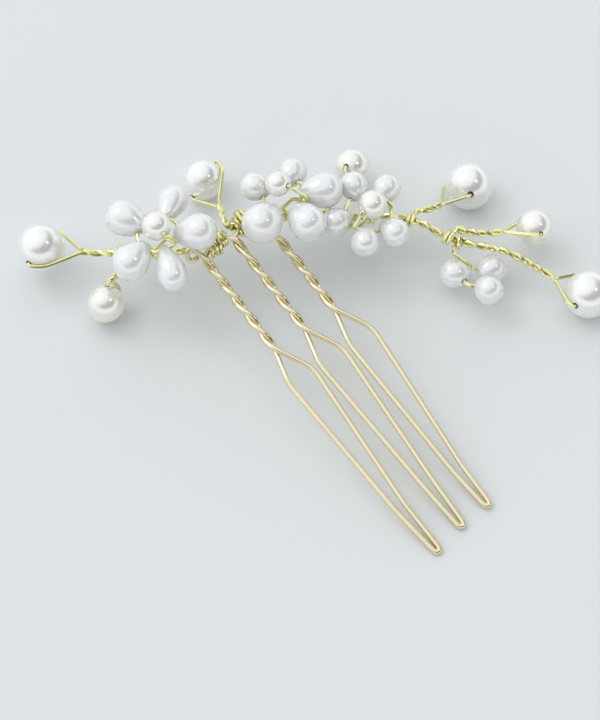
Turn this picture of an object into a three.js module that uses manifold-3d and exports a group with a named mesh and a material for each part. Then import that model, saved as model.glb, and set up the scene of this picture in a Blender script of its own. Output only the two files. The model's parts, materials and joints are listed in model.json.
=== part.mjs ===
// Decorative hair pin: a three-prong comb bent from gold wire, with three
// bead flowers, a bud and seven single pearls wired along its spine.
// Units are millimetres and +Z is up. The pin lies on the plane z = 0 on the
// tips of its prongs and its outer pearls, and +X runs along the spray.

import * as THREE from "three";
import { mergeVertices } from "three/addons/utils/BufferGeometryUtils.js";
import Module from "manifold-3d";

const wasm = await Module();
wasm.setup();

// ---------------------------------------------------------------- sizes

// Wires
const COMB_WIRE = 0.8;
const CRAFT_WIRE = 0.65;
const STRAND_GAP = 0.04; // between the two strands of a twisted pair
const WIRE_CLEARANCE = 0.08; // between a craft wire and what it passes
const STEM_TWIST = 4.0; // length of one full turn of a stem

// Comb, measured along its own plane
const PRONG_PITCH = 6.1;
const SHANK_LENGTH = 19.5; // twisted part, down to where the legs cross
const SHANK_TWIST = 7.8; // length of one full turn of a shank
const SHOULDER_RUN = 6.0; // from the crossing to the widest place
const LOOP_WIDTH = 4.9; // between the legs' centres at the shoulders
const LOOP_SHIFT = 0.7; // of the shoulders, towards the right
const LEG_LENGTH = 27.0; // shoulders to the second bend
const NECK_WIDTH = 1.8; // between the legs' centres at the second bend
const TIP_LENGTH = 7.8; // second bend to the round tip
const TIP_WIDTH = 1.0; // between the legs' centres at the round tip
const NECK_DRIFT = [0.3, 0.3, -0.4]; // of each prong's second bend, towards the right
const TIP_DRIFT = [0.8, 0.4, -0.2]; // of each hand-bent tip, towards the right
const TIP_REACH = [1.4, 0.3, 0]; // extra length of each prong
const SPINE_RISE = 0.9; // spine bar's distance above the shanks
const SPINE_CORNER = 0.9; // from a prong's centre to where the bar turns down
const SPINE_BEND = 1.0; // bend radius of those corners
const SHOULDER_BEND = 1.3; // bend radius of the loops
const EYE_RISE = 1.75; // eye's centre above the shanks
const EYE_STEPS = 8;
const EYE_TURN = 315; // degrees
const EYE_CROSSING = 1.05; // from the strand's height to the free end's
const EYE_RADIUS = 0.85; // centre line of the curl that ends the wire
const SPINE_HEIGHT = 9.0; // above the table
const COMB_YAW = 37; // degrees, from the spray to the comb's spine

// Binding round the spine
const BINDING_TURNS = 4;
const BINDING_PITCH = 0.72;
const OUTER_TURNS = 2.5; // wound back over the first turns
const OUTER_PITCH = 0.8;
const LEFT_LEAN = 0.7; // of the left coil's second row, outwards at its front
const BINDING_SWELL = 1.15; // coil's height over the stem's
const BINDING_START = 0.95; // from the middle prong's centre to each coil
const SPINE_TO_STEM = 1.25; // spine bar's centre back to the stems' centre
const WRAP_TURNS = 1.6; // of each wire tied on to a stem

// Pearls and drop beads
const LARGE_PEARL = 8.0;
const MEDIUM_PEARL = 7.0;
const CREAM_PEARL = 6.3;
const CENTRE_PEARL = 4.8;
const SMALL_CENTRE_PEARL = 4.2;
// A drop with taper 0 is an ellipsoid, and a higher taper has a narrower end.
const BROAD_DROP = { width: 6.7, length: 7.6, taper: 0.2 };
const LARGE_DROP = { width: 6.0, length: 7.4, taper: 0.28 };
const SLIM_DROP = { width: 4.9, length: 8.0, taper: 0.4 };
const SMALL_DROP = { width: 4.7, length: 5.2, taper: 0.15 };
const DROP_HOLE_INSET = 0.8; // from the narrow end to the cross hole
const PETAL_GAP = 0.3; // between neighbouring petals
const PEARL_SEAT = 0.15; // between a centre pearl and its petals
const LEG_STANDOFF = 0.25; // between a wire leg and the pearl it rounds
const LEG_BEND = 0.5; // bend radius of a wire leg
const THREAD_END = 0.22; // straight wire beyond each mouth of a petal's hole

// The thread's way from the last petal over to the centre pearl
const LEAVE_SHARE = 0.55; // of the gap between the last petal and the first
const LEAVE_OUT = 1.3; // of the ring's radius
const LEAVE_RISE = 1.3; // above the ring
const TUCK_OUT = 1.1; // of the ring's radius, where the thread ends
const TUCK_RISE = 0.66; // above the ring

// Facets
const COMB_SIDES = 6;
const COMB_STEPS = 8; // per turn
const CRAFT_SIDES = 5;
const CRAFT_STEPS = 5; // per turn of a stem
const COIL_STEPS = 8; // per turn of a binding or wrap
const PEARL_SIDES = 11;
const DROP_SIDES = 9;
const DROP_RINGS = 6;

// ------------------------------------------------------------ materials

const combGold = new THREE.MeshStandardMaterial({ color: 0xc9a56a, metalness: 1, roughness: 0.28 });
const craftGold = new THREE.MeshStandardMaterial({ color: 0xc6b852, metalness: 1, roughness: 0.3 });
const whitePearl = new THREE.MeshStandardMaterial({ color: 0xeceae6, metalness: 0, roughness: 0.2 });
const creamPearl = new THREE.MeshStandardMaterial({ color: 0xeee3d0, metalness: 0, roughness: 0.2 });
const glassDrop = new THREE.MeshStandardMaterial({ color: 0xe9edf2, metalness: 0, roughness: 0.12 });

// -------------------------------------------------------------- helpers

const vec = (x, y, z) => new THREE.Vector3(x, y, z);
const unit = (x, y, z) => vec(x, y, z).normalize();
const degrees = THREE.MathUtils.degToRad;
const along = (start, direction, distance) => start.clone().addScaledVector(direction, distance);
const craftRadius = CRAFT_WIRE / 2;
const boreRadius = craftRadius + WIRE_CLEARANCE;

// Centre line radius of each strand of a twisted pair. The facets of a coarse
// helix cut inside its circle, so the radius is taken at the facets' middle.
const strandOffset = (radius, steps) => (radius + STRAND_GAP / 2) / Math.cos(Math.PI / steps);
const stemOffset = strandOffset(craftRadius, CRAFT_STEPS);
const stemRadius = stemOffset + craftRadius;

const group = new THREE.Group();

function addMesh(name, geometry, material) {
  const mesh = new THREE.Mesh(geometry, material);
  mesh.name = name;
  group.add(mesh);
  return mesh;
}

// Turns a vector from one direction to another by a share of their angle.
function turned(from, to, share) {
  const angle = from.angleTo(to);
  const axis = from.clone().cross(to).normalize();
  return from.clone().applyAxisAngle(axis, angle * share);
}

// Normals carried along a line of points without twisting.
function carriedFrames(points, firstNormal) {
  const frames = [];
  let normal = firstNormal;
  points.forEach((point, i) => {
    const before = points[Math.max(i - 1, 0)];
    const after = points[Math.min(i + 1, points.length - 1)];
    const tangent = after.clone().sub(before).normalize();
    if (!normal) {
      const helper = Math.abs(tangent.z) < 0.8 ? vec(0, 0, 1) : vec(1, 0, 0);
      normal = helper.cross(tangent);
    }
    normal = normal.clone().addScaledVector(tangent, -normal.dot(tangent)).normalize();
    frames.push({ tangent, normal, side: tangent.clone().cross(normal) });
  });
  return frames;
}

// A closed round wire along a line of points, with flat ends.
function wireGeometry(points, radius, sides) {
  const frames = carriedFrames(points);
  const positions = [];
  const index = [];
  points.forEach((point, i) => {
    for (let k = 0; k < sides; k++) {
      const angle = (2 * Math.PI * k) / sides;
      const corner = along(point, frames[i].normal, radius * Math.cos(angle));
      corner.addScaledVector(frames[i].side, radius * Math.sin(angle));
      positions.push(corner.x, corner.y, corner.z);
    }
  });
  const last = (points.length - 1) * sides;
  for (let i = 0; i < last; i += sides) {
    for (let k = 0; k < sides; k++) {
      const next = (k + 1) % sides;
      index.push(i + k, i + next, i + sides + k);
      index.push(i + next, i + sides + next, i + sides + k);
    }
  }
  for (let k = 1; k < sides - 1; k++) {
    index.push(0, k + 1, k);
    index.push(last, last + k, last + k + 1);
  }
  const geometry = new THREE.BufferGeometry();
  geometry.setAttribute("position", new THREE.Float32BufferAttribute(positions, 3));
  geometry.setIndex(index);
  return geometry;
}

// Rounds the corners of a line of points.
function rounded(points, radius, steps = 2) {
  const result = [points[0]];
  for (let i = 1; i < points.length - 1; i++) {
    const [before, corner, after] = [points[i - 1], points[i], points[i + 1]];
    const back = before.clone().sub(corner);
    const ahead = after.clone().sub(corner);
    const reach = Math.min(radius, back.length() * 0.49, ahead.length() * 0.49);
    const start = along(corner, back.normalize(), reach);
    const end = along(corner, ahead.normalize(), reach);
    if (back.angleTo(ahead) > degrees(150)) {
      result.push(corner);
      continue;
    }
    result.push(...new THREE.QuadraticBezierCurve3(start, corner, end).getPoints(steps));
  }
  result.push(points[points.length - 1]);
  return result;
}

// ----------------------------------------------------------------- comb

// The comb's own axes: u along the spine, v down the prongs, n off its face.
const combLength = SHANK_LENGTH + SHOULDER_RUN + LEG_LENGTH + TIP_LENGTH;
const longestProng = combLength + Math.max(...TIP_REACH);
const combSlope = Math.asin((SPINE_HEIGHT - COMB_WIRE / 2) / longestProng);
const combU = vec(Math.cos(degrees(COMB_YAW)), Math.sin(degrees(COMB_YAW)), 0);
const combFlat = vec(combU.y, -combU.x, 0);
const combV = along(combFlat.multiplyScalar(Math.cos(combSlope)), vec(0, 0, -1), Math.sin(combSlope));
const combN = combV.clone().cross(combU).normalize();
const combOrigin = vec(-10.69, 17.55, SPINE_HEIGHT);

function onComb(u, v, n) {
  return along(along(along(combOrigin, combU, u), combV, v), combN, n);
}

const shankOffset = strandOffset(COMB_WIRE / 2, COMB_STEPS);

// One strand of a shank from its top to the crossing. At the crossing the
// strand that becomes the right leg (side 1) lies on top.
function shankStrand(u, side) {
  const count = Math.round((SHANK_LENGTH / SHANK_TWIST) * COMB_STEPS);
  const points = [];
  for (let i = 0; i <= count; i++) {
    const v = (SHANK_LENGTH * i) / count;
    const angle = (2 * Math.PI * (v - SHANK_LENGTH)) / SHANK_TWIST;
    const across = side * shankOffset * Math.sin(angle);
    points.push(onComb(u + across, v, side * shankOffset * Math.cos(angle)));
  }
  return points;
}

// Both strands of a prong and its hairpin loop, from the left strand's top
// down round the tip and up to the right strand's top.
function prongPoints(prong) {
  const u = (prong - 1) * PRONG_PITCH;
  const shoulder = SHANK_LENGTH + SHOULDER_RUN;
  const neck = shoulder + LEG_LENGTH;
  const middle = u + LOOP_SHIFT;
  const tip = u + TIP_DRIFT[prong];
  const neckMiddle = u + NECK_DRIFT[prong];
  const end = combLength + TIP_REACH[prong] - TIP_WIDTH / 2;
  const leg = (side) => [
    onComb(middle + (side * LOOP_WIDTH) / 2, shoulder, 0),
    onComb(neckMiddle + (side * NECK_WIDTH) / 2, neck, 0),
    onComb(tip + (side * TIP_WIDTH) / 2, end, 0),
  ];
  const bend = [-60, -20, 20, 60].map((angle) => {
    const a = degrees(angle);
    return onComb(tip + (TIP_WIDTH / 2) * Math.sin(a), end + (TIP_WIDTH / 2) * Math.cos(a), 0);
  });
  const loop = rounded([
    shankStrand(u, -1).pop(), ...leg(-1), ...bend, ...leg(1).reverse(), shankStrand(u, 1).pop(),
  ], SHOULDER_BEND);
  return [...shankStrand(u, -1).slice(0, -1), ...loop, ...shankStrand(u, 1).reverse().slice(1)];
}

// The curl that ends the wire beside an outer prong, from its free end. The
// strand of the left eye starts on top of the shank and ends under it, and
// the right one starts under it and ends on top.
function eyePoints(u, side) {
  const points = [];
  const top = -side * shankOffset;
  for (let i = 0; i <= EYE_STEPS; i++) {
    const share = i / EYE_STEPS;
    const angle = degrees(EYE_TURN * (1 - share));
    const across = u + side * (shankOffset + EYE_RADIUS - EYE_RADIUS * Math.cos(angle));
    const lift = top + side * (1 - share) * EYE_CROSSING;
    points.push(onComb(across, -EYE_RISE - EYE_RADIUS * Math.sin(angle), lift));
  }
  return points;
}

function combPoints() {
  const outer = PRONG_PITCH;
  const corner = (u, side) => onComb(u + side * SPINE_CORNER, -SPINE_RISE, (-side * shankOffset) / 2);
  const bars = [0, 1].map((prong) => {
    const u = (prong - 1) * PRONG_PITCH;
    return [corner(u, 1), corner(u + PRONG_PITCH, -1)];
  });
  const points = [...eyePoints(-outer, -1)];
  [0, 1, 2].forEach((prong) => {
    const strand = prongPoints(prong);
    if (prong === 0) {
      points.push(...strand);
      return;
    }
    const top = points.pop();
    const first = strand.shift();
    points.push(...rounded([top, ...bars[prong - 1], first], SPINE_BEND));
    points.push(...strand);
  });
  return [...points, ...eyePoints(outer, 1).reverse()];
}

addMesh("comb_wire", wireGeometry(combPoints(), COMB_WIRE / 2, COMB_SIDES), combGold);

// -------------------------------------------------------------- binding

// Each coil holds a stem behind the spine bar, on one side of the middle
// prong: a first row of turns outwards and a second row back over it.
const bindingDepth = (COMB_WIRE / 2 + SPINE_TO_STEM + stemRadius) / 2;
const bindingMiddle = -SPINE_RISE + COMB_WIRE / 2 - bindingDepth;
const bindingLength = BINDING_TURNS * BINDING_PITCH;
const coilFacets = 1 / Math.cos(Math.PI / COIL_STEPS);

function bindingPoints(side, lean) {
  const points = [];
  const start = BINDING_START + craftRadius;
  const row = (layer, turns, pitch, from, rowLean) => {
    const grown = WIRE_CLEARANCE + craftRadius + layer * (CRAFT_WIRE + WIRE_CLEARANCE);
    const depth = (bindingDepth + grown) * coilFacets;
    const height = (stemRadius * BINDING_SWELL + grown) * coilFacets;
    for (let i = layer; i <= turns * COIL_STEPS; i++) {
      const angle = (2 * Math.PI * (i - layer)) / COIL_STEPS;
      const u = from + (pitch * i) / COIL_STEPS;
      const v = bindingMiddle + depth * Math.sin(angle);
      points.push(onComb(side * (u + rowLean * Math.sin(angle)), v, height * Math.cos(angle)));
    }
  };
  row(0, BINDING_TURNS, BINDING_PITCH, start, 0);
  row(1, OUTER_TURNS, -OUTER_PITCH, start + bindingLength, lean);
  return points;
}

addMesh("binding_left", wireGeometry(bindingPoints(-1, LEFT_LEAN), craftRadius, CRAFT_SIDES), craftGold);
addMesh("binding_right", wireGeometry(bindingPoints(1, 0), craftRadius, CRAFT_SIDES), craftGold);

// ------------------------------------------------------ beads and wires

// A round pearl with a bore along its own Y axis.
function pearlGeometry(diameter) {
  const radius = diameter / 2;
  const first = Math.asin(boreRadius / radius);
  const rings = 7;
  const profile = [];
  for (let i = 0; i <= rings; i++) {
    const angle = first + ((Math.PI - 2 * first) * i) / rings;
    profile.push(new THREE.Vector2(radius * Math.sin(angle), -radius * Math.cos(angle)));
  }
  profile.push(profile[0].clone());
  return new THREE.LatheGeometry(profile, PEARL_SIDES);
}

// Radius of a drop bead at a share of its length from the narrow end.
function dropRadius(drop, share) {
  const angle = Math.acos(1 - 2 * share);
  const outline = (a) => Math.sin(a) * (1 - drop.taper * Math.cos(a));
  const widest = Math.acos((1 - Math.sqrt(1 + 8 * drop.taper ** 2)) / (4 * drop.taper));
  return ((drop.width / 2) * outline(angle)) / outline(widest);
}

const holeShare = (drop) => DROP_HOLE_INSET / drop.length;

function toSolid(geometry) {
  const plain = geometry.clone();
  plain.deleteAttribute("normal");
  plain.deleteAttribute("uv");
  const merged = mergeVertices(plain, 1e-4);
  const triangles = [];
  for (let i = 0; i < merged.index.count; i += 3) {
    const [a, b, c] = [0, 1, 2].map((k) => merged.index.getX(i + k));
    if (a !== b && b !== c && c !== a) triangles.push(a, b, c);
  }
  return new wasm.Manifold(new wasm.Mesh({
    numProp: 3,
    vertProperties: new Float32Array(merged.attributes.position.array),
    triVerts: new Uint32Array(triangles),
  }));
}

function toGeometry(solid) {
  const mesh = solid.getMesh();
  const geometry = new THREE.BufferGeometry();
  geometry.setAttribute("position", new THREE.BufferAttribute(new Float32Array(mesh.vertProperties), 3));
  geometry.setIndex(new THREE.BufferAttribute(new Uint32Array(mesh.triVerts), 1));
  return geometry;
}

// A drop bead with its cross hole along Y through the origin and its fat end
// towards +X.
function dropGeometry(drop) {
  const profile = [];
  for (let i = 0; i <= DROP_RINGS; i++) {
    const share = (1 - Math.cos((Math.PI * i) / DROP_RINGS)) / 2;
    const radius = i % DROP_RINGS === 0 ? 0 : dropRadius(drop, share);
    profile.push(new THREE.Vector2(radius, share * drop.length - DROP_HOLE_INSET));
  }
  const body = new THREE.LatheGeometry(profile, DROP_SIDES).rotateZ(-Math.PI / 2);
  const hole = new THREE.CylinderGeometry(boreRadius, boreRadius, drop.width, 8);
  return toGeometry(toSolid(body).subtract(toSolid(hole)));
}

// Points round a pearl from a wire's start to the mouth of its bore, ending
// just outside the mouth. A direction to pass can be given.
function legPoints(start, centre, radius, mouth, pass) {
  const ring = radius + LEG_STANDOFF + craftRadius;
  const reach = start.clone().sub(centre);
  const free = Math.acos(Math.min(1, ring / reach.length()));
  let direction = reach.normalize();
  const points = [];
  (pass ? [pass, mouth] : [mouth]).forEach((target, i) => {
    const angle = direction.angleTo(target);
    const skipped = i === 0 ? Math.min(free, angle) : 0;
    const steps = Math.max(1, Math.ceil((angle - skipped) / degrees(30)));
    for (let k = i === 0 && skipped < angle ? 0 : 1; k <= steps; k++) {
      const share = (skipped + ((angle - skipped) * k) / steps) / angle;
      points.push(along(centre, turned(direction, target, share), ring));
    }
    direction = target;
  });
  return points;
}

// A wrap round a stem that starts on the side given and moves along it.
function wrapPoints(curve, place, side, turns, heading) {
  const centre = curve.getPointAt(place);
  const tangent = curve.getTangentAt(place);
  const out = side.clone().addScaledVector(tangent, -side.dot(tangent)).normalize();
  const over = tangent.clone().cross(out);
  const radius = (stemRadius + WIRE_CLEARANCE + craftRadius) / Math.cos(Math.PI / COIL_STEPS);
  const points = [];
  for (let i = 0; i <= Math.round(turns * COIL_STEPS); i++) {
    const angle = (2 * Math.PI * i) / COIL_STEPS;
    const centreHere = along(centre, tangent, (heading * BINDING_PITCH * i) / COIL_STEPS);
    points.push(along(along(centreHere, out, radius * Math.cos(angle)), over, radius * Math.sin(angle)));
  }
  return points;
}

// Where a branch leaves a stem: just outside the wrap that ties it on.
function branchStart(curve, place, side) {
  const tangent = curve.getTangentAt(place);
  const out = side.clone().addScaledVector(tangent, -side.dot(tangent)).normalize();
  const distance = stemRadius + CRAFT_WIRE + stemRadius + 2 * WIRE_CLEARANCE;
  return along(curve.getPointAt(place), out, distance);
}

// The two strands of a stem, each listed from the fork back to the root. The
// first strand starts on the side given.
function twistedPair(curve, side) {
  const length = curve.getLength();
  const count = Math.max(2, Math.round((length / STEM_TWIST) * CRAFT_STEPS));
  const centres = curve.getSpacedPoints(count).reverse();
  const frames = carriedFrames(centres, side);
  const strand = (sign) => centres.map((centre, i) => {
    const angle = (2 * Math.PI * i) / CRAFT_STEPS;
    const point = along(centre, frames[i].normal, sign * stemOffset * Math.cos(angle));
    return point.addScaledVector(frames[i].side, sign * stemOffset * Math.sin(angle));
  });
  return [strand(1), strand(-1)];
}

// A stem with a pearl at its end: one wire that runs up one strand, through
// the pearl and back down the other. `reach` is from the fork to the pearl.
function pearlStem({ name, path, diameter, toPearl, reach, bore, pass, material, wrap }) {
  const radius = diameter / 2;
  const fork = path[path.length - 1];
  const centre = along(fork, toPearl, radius + reach);
  const curve = new THREE.CatmullRomCurve3(path, false, "centripetal");
  const [near, far] = twistedPair(curve, bore);
  const opposite = bore.clone().negate();
  const legs = rounded([
    far[0], ...legPoints(far[0], centre, radius, opposite, pass),
    ...legPoints(near[0], centre, radius, bore).reverse(), near[0],
  ], LEG_BEND);
  const points = [...far.slice(1).reverse(), ...legs, ...near.slice(1)];
  if (wrap) points.push(...wrap);
  addMesh(`stem_${name}`, wireGeometry(points, craftRadius, CRAFT_SIDES), craftGold);
  const pearl = addMesh(`pearl_${name}`, pearlGeometry(diameter), material);
  pearl.position.copy(centre);
  pearl.quaternion.setFromUnitVectors(vec(0, 1, 0), bore);
  return curve;
}

// ---------------------------------------------------------------- stems

const inBinding = (u) => onComb(u, -SPINE_RISE - SPINE_TO_STEM, 0);
const bindingEnd = BINDING_START + bindingLength + CRAFT_WIRE;

const leftStem = pearlStem({
  name: "left",
  path: [
    inBinding(-0.6), inBinding(-bindingEnd), vec(-19.3, 16.1, 7.9), vec(-24, 15.9, 7.6),
    vec(-29.5, 15.7, 8), vec(-33, 15.9, 7.5), vec(-36, 16.5, 7),
  ],
  diameter: LARGE_PEARL,
  toPearl: unit(-0.98, 0.16, -0.07),
  reach: 2.8,
  bore: unit(0.45, 0.87, -0.18),
  material: whitePearl,
});

const rightStem = pearlStem({
  name: "right",
  path: [
    inBinding(0.6), inBinding(bindingEnd), vec(-6.9, 23.4, 7.2), vec(-2, 23.6, 7.1),
    vec(4, 23, 7.6), vec(9, 22.5, 7.8), vec(14.7, 22.6, 8), vec(20, 21.5, 7.7),
    vec(23, 19.9, 7.2), vec(25.6, 18.6, 7), vec(30, 17.6, 6.8), vec(33.7, 17, 6.2),
    vec(38.9, 14.8, 5), vec(42.2, 12.6, 4.5),
  ],
  diameter: LARGE_PEARL,
  toPearl: unit(0.9, -0.42, -0.09),
  reach: 1.8,
  bore: unit(-0.615, -0.72, 0.31),
  material: whitePearl,
});

// A stem tied on to another by a wrap of its own wire.
function branch({ from, place, side, heading, path, ...rest }) {
  const start = branchStart(from, place, side);
  const wrap = wrapPoints(from, place, side, WRAP_TURNS, heading);
  return pearlStem({ path: [start, ...path], wrap, ...rest });
}

branch({
  name: "lower_left",
  from: leftStem,
  place: 0.695,
  side: unit(-0.3, -0.9, -0.3),
  heading: 1,
  path: [vec(-30.8, 10.85, 7.2)],
  diameter: CREAM_PEARL,
  toPearl: unit(-1.1, -2.49, -3.2),
  reach: 1.05,
  bore: unit(0.1, 0.63, 0.77),
  pass: unit(0.6, 0.75, -0.28),
  material: creamPearl,
});

pearlStem({
  name: "upper_left",
  path: [onComb(0, -1.8, 1.75), vec(-12.6, 21.2, 10.2), vec(-12.9, 24, 8), vec(-13.7, 25.8, 6.5)],
  diameter: MEDIUM_PEARL,
  toPearl: unit(-0.34, 0.86, -0.38),
  reach: 4.4,
  bore: unit(0.49, 0.86, 0.14),
  material: whitePearl,
});

branch({
  name: "upper_middle",
  from: rightStem,
  place: 0.32,
  side: unit(0.2, 0.95, 0.2),
  heading: -1,
  path: [vec(6.5, 26.5, 8.3), vec(8.2, 28.5, 8)],
  diameter: CREAM_PEARL,
  toPearl: unit(0.09, 0.88, -0.46),
  reach: 3.4,
  bore: unit(-0.35, -0.49, 0.8),
  pass: unit(0.1, -0.35, -0.93),
  material: creamPearl,
});

branch({
  name: "upper_right",
  from: rightStem,
  place: 0.56,
  side: unit(0.5, 0.8, -0.1),
  heading: -1,
  path: [vec(22.3, 24.8, 7.2), vec(23.7, 26, 6.5)],
  diameter: LARGE_PEARL,
  toPearl: unit(0.65, 0.69, -0.34),
  reach: 3.4,
  bore: unit(0, -0.8, 0.6),
  material: whitePearl,
});

branch({
  name: "middle_right",
  from: rightStem,
  place: 0.68,
  side: unit(0.7, 0.7, 0.1),
  heading: -1,
  path: [vec(30, 19.8, 7.3), vec(33.7, 20.4, 7)],
  diameter: CREAM_PEARL,
  toPearl: unit(0.96, 0.22, -0.18),
  reach: 2.4,
  bore: unit(0.21, -0.75, 0.63),
  material: creamPearl,
});

// -------------------------------------------------------------- flowers

// A flower's own axes: petals spread in its plane, which faces `facing`.
function flowerAxes(facing) {
  const up = facing.clone().normalize();
  const right = vec(1, 0, 0).addScaledVector(up, -up.x).normalize();
  return { right, up, back: up.clone().cross(right) };
}

// How far from the flower's centre the cross holes lie, so that neighbouring
// petals clear each other and the ring wire can bend between their bores.
function petalReach(petals, halfBore) {
  const needed = petals.map((petal, i) => {
    const next = petals[(i + 1) % petals.length];
    const half = degrees(((next.angle - petal.angle + 720) % 360) / 2);
    const fat = petal.drop.length - DROP_HOLE_INSET - petal.drop.width / 2;
    const spread = (petal.drop.width / 2 + next.drop.width / 2 + PETAL_GAP) / (2 * Math.sin(half));
    const straight = halfBore(petal) + THREAD_END + CRAFT_WIRE / 4;
    const bend = half < degrees(80) ? straight / Math.tan(half) : 0;
    return Math.max(spread - fat, bend);
  });
  return Math.max(...needed);
}

// Height at which a pearl of a radius rests above the petals.
function pearlHeight(petals, reach, radius, offset) {
  let height = 0;
  petals.forEach((petal) => {
    const [a, lift] = [degrees(petal.angle), degrees(petal.lift)];
    for (let share = 0.05; share < 0.7; share += 0.05) {
      const run = share * petal.drop.length - DROP_HOLE_INSET;
      const out = reach + run * Math.cos(lift);
      const apart = Math.hypot(out * Math.cos(a) - offset[0], out * Math.sin(a) - offset[1]);
      const touch = radius + dropRadius(petal.drop, share) + PEARL_SEAT;
      if (apart < touch) height = Math.max(height, run * Math.sin(lift) + Math.sqrt(touch ** 2 - apart ** 2));
    }
  });
  return height;
}

// A ring of drop beads on one wire. The wire wraps the stem, rises through the
// ring's middle, threads the petals in turn and, where there is a centre
// pearl, crosses over through its bore and ends between two petals.
function flower({ name, centre, facing, petals, from, place, foot, enter, pearl }) {
  const axes = flowerAxes(facing);
  const at = (x, y, z) => along(along(along(centre, axes.right, x), axes.back, y), axes.up, z);
  const polar = (angle, out, z, sideways = 0) => {
    const a = degrees(angle);
    return at(out * Math.cos(a) - sideways * Math.sin(a), out * Math.sin(a) + sideways * Math.cos(a), z);
  };
  const halfBore = (petal) => dropRadius(petal.drop, holeShare(petal.drop));
  const reach = petalReach(petals, halfBore);
  const threads = petals.flatMap((petal) => {
    const half = halfBore(petal) + THREAD_END;
    return [polar(petal.angle, reach, 0, -half), polar(petal.angle, reach, 0, half)];
  });
  const first = petals[0];
  const last = petals[petals.length - 1];
  const gap = (first.angle - last.angle + 720) % 360;
  const points = [polar(first.angle - gap * enter.share, reach * enter.out, enter.height), ...threads];
  petals.forEach((petal, i) => {
    const mesh = addMesh(`${name}_petal_${i + 1}`, dropGeometry(petal.drop), glassDrop);
    const [a, lift] = [degrees(petal.angle), degrees(petal.lift)];
    const out = axes.right.clone().multiplyScalar(Math.cos(a)).addScaledVector(axes.back, Math.sin(a));
    const bore = axes.up.clone().cross(out);
    const x = along(out.multiplyScalar(Math.cos(lift)), axes.up, Math.sin(lift));
    mesh.applyMatrix4(new THREE.Matrix4().makeBasis(x, bore, x.clone().cross(bore)));
    mesh.position.copy(polar(petal.angle, reach, 0));
  });
  if (pearl) {
    const radius = pearl.diameter / 2;
    const height = pearlHeight(petals, reach, radius, pearl.offset);
    const middle = at(pearl.offset[0], pearl.offset[1], height);
    const leave = polar(last.angle + gap * LEAVE_SHARE, reach * LEAVE_OUT, LEAVE_RISE);
    const tuck = polar(pearl.tuck, reach * TUCK_OUT, TUCK_RISE);
    const opposite = pearl.bore.clone().negate();
    points.push(leave, ...legPoints(leave, middle, radius, pearl.bore));
    points.push(...legPoints(tuck, middle, radius, opposite).reverse(), tuck);
    const mesh = addMesh(`${name}_pearl`, pearlGeometry(pearl.diameter), creamPearl);
    mesh.position.copy(middle);
    mesh.quaternion.setFromUnitVectors(vec(0, 1, 0), pearl.bore);
  }
  const side = vec(...foot);
  const wrap = wrapPoints(from, place, side, WRAP_TURNS, 1).reverse();
  const wire = rounded([...wrap.slice(-1), branchStart(from, place, side), ...points], THREAD_END * 0.9);
  addMesh(`${name}_wire`, wireGeometry([...wrap, ...wire.slice(1)], craftRadius, CRAFT_SIDES), craftGold);
}

// The wire comes up through the middle of a flower that sits on its stem.
const fromBelow = { share: 0.27, out: 0.45, height: -CRAFT_WIRE };

flower({
  name: "flower_left",
  centre: vec(-22.95, 16.05, 10.4 + LARGE_DROP.width / 2),
  facing: vec(-0.08, 0, 1),
  petals: [
    { drop: LARGE_DROP, angle: 358, lift: 8 },
    { drop: SLIM_DROP, angle: 74, lift: -18 },
    { drop: LARGE_DROP, angle: 150, lift: -2 },
    { drop: LARGE_DROP, angle: 228, lift: -6 },
    { drop: SLIM_DROP, angle: 288, lift: -14 },
  ],
  from: leftStem,
  place: 0.475,
  foot: [0, 0, 1],
  enter: fromBelow,
  pearl: { diameter: CENTRE_PEARL, offset: [0, 0], bore: unit(0.465, -0.8, 0.37), tuck: 112 },
});

flower({
  name: "flower_middle",
  centre: vec(-2.6, 23.6, 10.0 + LARGE_DROP.width / 2),
  facing: vec(0, 0, 1),
  petals: [
    { drop: LARGE_DROP, angle: 10, lift: -4 },
    { drop: SMALL_DROP, angle: 74, lift: -18 },
    { drop: SMALL_DROP, angle: 160, lift: -4 },
    { drop: BROAD_DROP, angle: 238, lift: 8 },
    { drop: LARGE_DROP, angle: 305, lift: 8 },
  ],
  from: rightStem,
  place: 0.19,
  foot: [0, 0, 1],
  enter: fromBelow,
  pearl: { diameter: SMALL_CENTRE_PEARL, offset: [-1, 0.3], bore: unit(0.78, -0.47, 0.42), tuck: 118 },
});

flower({
  name: "flower_right",
  centre: vec(11.3, 21.8, 10.6),
  facing: vec(0, 0, 1),
  petals: [
    { drop: SMALL_DROP, angle: 263, lift: -4 },
    { drop: SMALL_DROP, angle: 319, lift: -4 },
    { drop: SMALL_DROP, angle: 57, lift: -4 },
    { drop: SMALL_DROP, angle: 116, lift: 6 },
    { drop: SMALL_DROP, angle: 198, lift: -4 },
  ],
  from: rightStem,
  place: 0.427,
  foot: [0, 0, 1],
  enter: fromBelow,
  pearl: { diameter: CENTRE_PEARL, offset: [0.6, -0.2], bore: unit(-0.62, -0.72, 0.32), tuck: 9 },
});

flower({
  name: "bud",
  centre: vec(29, 13, 4.4),
  facing: vec(0, 0.35, 0.94),
  petals: [
    { drop: SMALL_DROP, angle: 162, lift: -1 },
    { drop: SMALL_DROP, angle: 302, lift: 0 },
    { drop: SMALL_DROP, angle: 40, lift: 0 },
  ],
  from: rightStem,
  place: 0.694,
  foot: [0.2, -0.9, -0.4],
  enter: { share: 0.5, out: 1.9, height: 0 },
});

// The origin is at the middle of the pin's footprint, on the table.
const box = new THREE.Box3().setFromObject(group, true);
const middle = box.getCenter(new THREE.Vector3());
group.position.set(-middle.x, -middle.y, -box.min.z);

export default group;
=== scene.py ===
"""Decorative hair pin: pearls and bead flowers wired on a three-prong comb."""

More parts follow.
